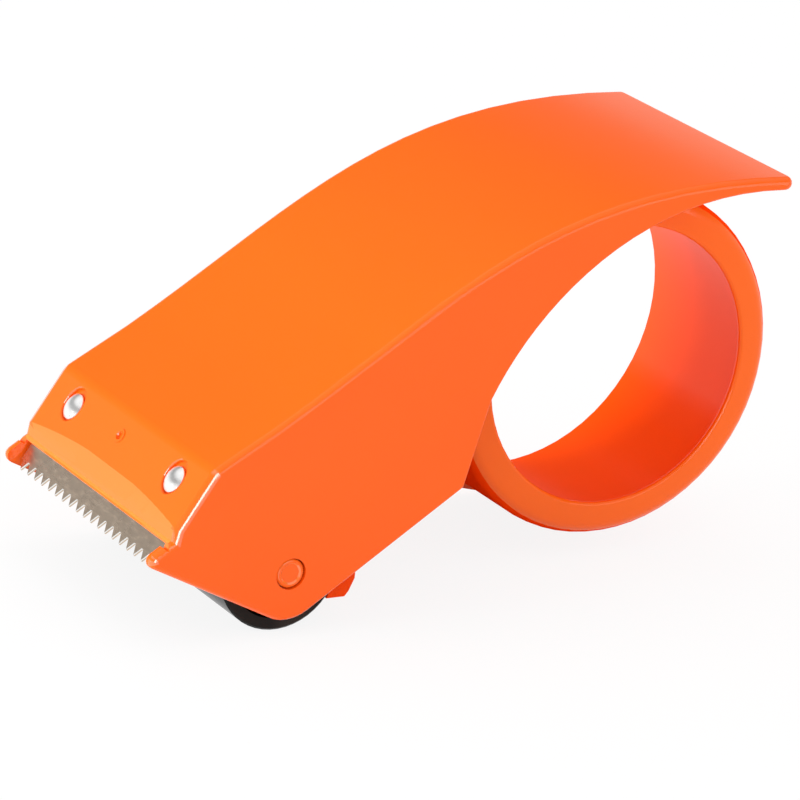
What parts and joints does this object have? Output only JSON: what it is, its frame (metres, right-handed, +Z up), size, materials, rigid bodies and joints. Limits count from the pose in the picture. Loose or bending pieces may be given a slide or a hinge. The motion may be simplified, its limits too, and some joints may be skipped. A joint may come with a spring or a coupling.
{
  "type": "packing tape dispenser",
  "caption": "Hand-held packing tape dispenser: curved housing, finger ring that carries the roll, serrated blade under the front pad, roller and hanging tape guard.",
  "frame": {"origin": "bottom centre of the bounding box, with the dispenser standing on its roller and its ring flange", "axes": "+X from the blade towards the tail, +Y from the near plate towards the ring's far plate, +Z up"},
  "size_m": [0.161, 0.0668, 0.0885],
  "materials": {
    "orange_plastic": "smooth glossy moulded orange",
    "ring_plastic": "smooth glossy moulded orange",
    "blade_steel": "cold-rolled strip with ground tooth bevels",
    "rivet_metal": "bright plated domes",
    "black_plastic": "satin black tube",
    "bush_plastic": "dull dark grey",
    "axle_plastic": "smooth moulded orange",
    "guard_plastic": "smooth moulded red-orange"
  },
  "bodies": {
    "body": {"housing": "orange_plastic", "tape_ring": "ring_plastic", "blade": "blade_steel", "rivet_near": "rivet_metal", "rivet_far": "rivet_metal", "roller_axle": "axle_plastic"},
    "roller": {"roller_tube": "black_plastic", "roller_bush_near": "bush_plastic", "roller_bush_far": "bush_plastic"},
    "guard": {"tape_guard": "guard_plastic"}
  },
  "joints": [
    {"name": "roller_spin", "type": "hinge", "parent": "body", "child": "roller", "pos_m": [-0.04904, 0, 0.01344], "axis": [0, 1, 0], "continuous": true},
    {"name": "guard_hinge", "type": "hinge", "parent": "body", "child": "guard", "pos_m": [-0.03278, 0, 0.01839], "axis": [0, 1, 0], "range_deg": [-50, 4]}
  ]
}
